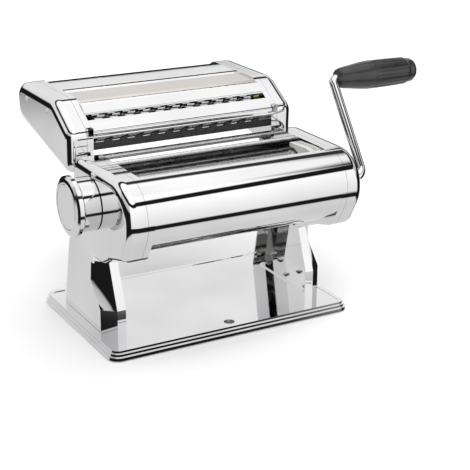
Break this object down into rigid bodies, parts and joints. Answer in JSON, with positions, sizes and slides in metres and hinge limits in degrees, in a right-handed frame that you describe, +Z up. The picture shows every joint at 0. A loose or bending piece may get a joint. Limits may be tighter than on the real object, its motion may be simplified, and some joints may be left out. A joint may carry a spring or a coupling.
{
  "type": "pasta roller machine",
  "caption": "Hand-cranked pasta machine: chromed body on a flat base with smooth rollers, a thickness dial, a lift-off ribbon cutter unit and a removable crank.",
  "frame": {"origin": "on the table under the middle of the base, in the plane the pad rests on", "axes": "+X along the rollers from the dial knob to the crank, -Y the front where the dough comes out, +Z up"},
  "size_m": [0.3127, 0.2119, 0.1879],
  "materials": {
    "chrome": "polished",
    "plated_steel": "satin zinc plate",
    "roller_steel": "ground smooth",
    "bearing_brass": "machined",
    "black_plastic": "semi-gloss",
    "white_plastic": "matte",
    "pad_rubber": "matte"
  },
  "bodies": {
    "frame": {"base_plate": "chrome", "base_pad": "pad_rubber", "clamp_socket": "plated_steel", "left_leg": "chrome", "right_leg": "chrome", "leg_rivets": "plated_steel", "left_side_plate": "plated_steel", "right_side_plate": "plated_steel", "spacers": "plated_steel", "bridge_plate": "plated_steel", "roller_bushes": "bearing_brass", "front_shell": "chrome", "rear_shell": "chrome", "tie_rods": "plated_steel", "roller_scrapers": "white_plastic", "dough_guide_left": "white_plastic", "dough_guide_right": "white_plastic", "slide_guides": "white_plastic", "dial_housing": "white_plastic", "left_cover": "chrome", "right_cover": "chrome", "cover_screws": "chrome", "frame_screws": "plated_steel"},
    "dial": {"dial_spindle": "roller_steel", "knob_retainer": "plated_steel", "knob_spring": "plated_steel"},
    "knob": {"knob": "chrome", "knob_cap": "chrome", "knob_lock_pin": "plated_steel"},
    "bearing_sleeves": {"roller_sleeves": "bearing_brass"},
    "rear_roller": {"rear_roller": "roller_steel", "rear_gear": "roller_steel"},
    "front_roller": {"front_roller": "roller_steel", "front_gear": "roller_steel"},
    "crank": {"crank_arm": "chrome", "grip_screw": "plated_steel"},
    "grip": {"crank_grip": "black_plastic"},
    "cutter_unit": {"cutter_left_plate": "plated_steel", "cutter_right_plate": "plated_steel", "cutter_left_cover": "chrome", "cutter_right_cover": "chrome", "cutter_rear_shell": "chrome", "cutter_middle_panel": "chrome", "cutter_middle_cover": "chrome", "cutter_front_shell": "chrome", "lip_end_blocks": "plated_steel", "cutter_tie_rods": "plated_steel", "cutter_bushes": "bearing_brass", "cutter_screws": "chrome", "wide_combs": "white_plastic", "fine_combs": "white_plastic", "cutter_hooks": "plated_steel"},
    "wide_driver": {"wide_driver": "roller_steel", "wide_driver_gear": "roller_steel"},
    "wide_idler": {"wide_idler": "roller_steel", "wide_idler_gear": "roller_steel"},
    "fine_driver": {"fine_driver": "roller_steel", "fine_driver_gear": "roller_steel"},
    "fine_idler": {"fine_idler": "roller_steel", "fine_idler_gear": "roller_steel"}
  },
  "joints": [
    {"name": "crank_turn", "type": "hinge", "parent": "frame", "child": "front_roller", "pos_m": [0, -0.061, 0.1093], "axis": [1, 0, 0], "continuous": true},
    {"name": "dial_turn", "type": "hinge", "parent": "frame", "child": "dial", "pos_m": [0, -0.02385, 0.1093], "axis": [-1, 0, 0], "range_deg": [0, 180]},
    {"name": "knob_pull", "type": "slide", "parent": "dial", "child": "knob", "axis": [-1, 0, 0], "range_m": [0, 0.004], "stiffness_N_per_m": 800, "springref_m": -0.002, "deforming": ["knob_spring"]},
    {"name": "sleeve_turn", "type": "hinge", "parent": "dial", "child": "bearing_sleeves", "pos_m": [0, -0.025, 0.1093], "axis": [-1, 0, 0], "range_deg": [-180, 0]},
    {"name": "rear_roller_turn", "type": "hinge", "parent": "bearing_sleeves", "child": "rear_roller", "pos_m": [0, -0.025, 0.1093], "axis": [1, 0, 0], "continuous": true},
    {"name": "crank_pull", "type": "slide", "parent": "front_roller", "child": "crank", "axis": [1, 0, 0], "range_m": [0, 0.03]},
    {"name": "grip_turn", "type": "hinge", "parent": "crank", "child": "grip", "pos_m": [0.15, -0.0135, 0.1765], "axis": [1, 0, 0], "continuous": true},
    {"name": "cutter_lift", "type": "slide", "parent": "frame", "child": "cutter_unit", "axis": [0, 0, 1], "range_m": [0, 0.045]},
    {"name": "wide_cutter_turn", "type": "hinge", "parent": "cutter_unit", "child": "wide_driver", "pos_m": [0, 0.04674, 0.15382], "axis": [1, 0, 0], "continuous": true},
    {"name": "wide_idler_turn", "type": "hinge", "parent": "cutter_unit", "child": "wide_idler", "pos_m": [0, 0.0302, 0.1478], "axis": [1, 0, 0], "continuous": true},
    {"name": "fine_cutter_turn", "type": "hinge", "parent": "cutter_unit", "child": "fine_driver", "pos_m": [0, 0.0896, 0.1495], "axis": [1, 0, 0], "continuous": true},
    {"name": "fine_idler_turn", "type": "hinge", "parent": "cutter_unit", "child": "fine_idler", "pos_m": [0, 0.072, 0.1495], "axis": [1, 0, 0], "continuous": true}
  ],
  "couplings": [
    {"joint": "rear_roller_turn", "follows": "crank_turn", "ratio": -1},
    {"joint": "sleeve_turn", "follows": "dial_turn", "ratio": -1},
    {"joint": "wide_idler_turn", "follows": "wide_cutter_turn", "ratio": -1},
    {"joint": "fine_idler_turn", "follows": "fine_cutter_turn", "ratio": -1}
  ]
}
